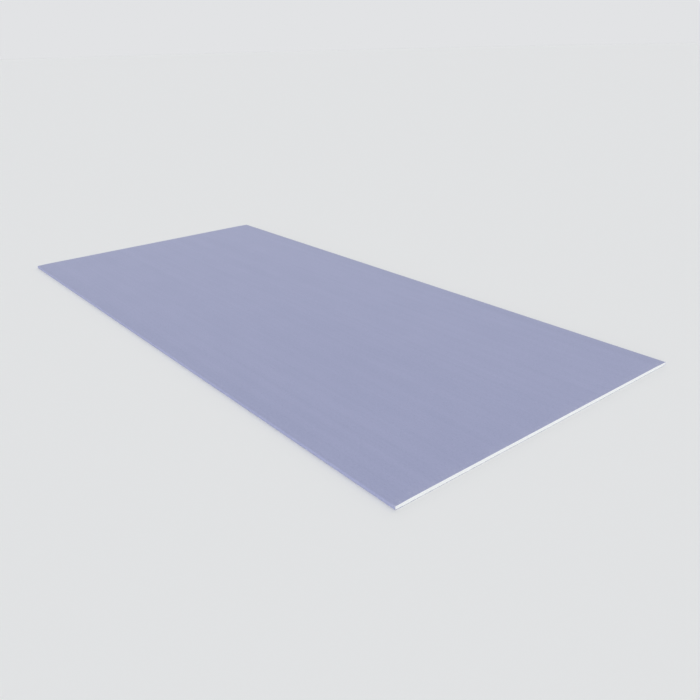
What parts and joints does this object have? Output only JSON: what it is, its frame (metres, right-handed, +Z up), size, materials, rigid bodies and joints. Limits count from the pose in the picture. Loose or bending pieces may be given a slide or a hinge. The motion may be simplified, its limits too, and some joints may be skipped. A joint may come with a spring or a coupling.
{
  "type": "drywall sheet",
  "caption": "Flat gypsum board with a white core between lilac facing papers, square-cut ends and long edges tapered on the face.",
  "frame": {"origin": "middle of the underside, on the level that the sheet lies on", "axes": "+X along the length, +Y across the width, +Z up, out of the tapered face"},
  "size_m": [2.6, 1.2, 0.0125],
  "materials": {
    "gypsum": "matt set gypsum, white, bare at the cut ends",
    "face_paper": "matt lilac facing paper",
    "back_paper": "matt greyed lilac backing paper"
  },
  "bodies": {
    "root": {"gypsum_core": "gypsum", "face_paper": "face_paper", "back_paper": "back_paper"}
  },
  "joints": []
}
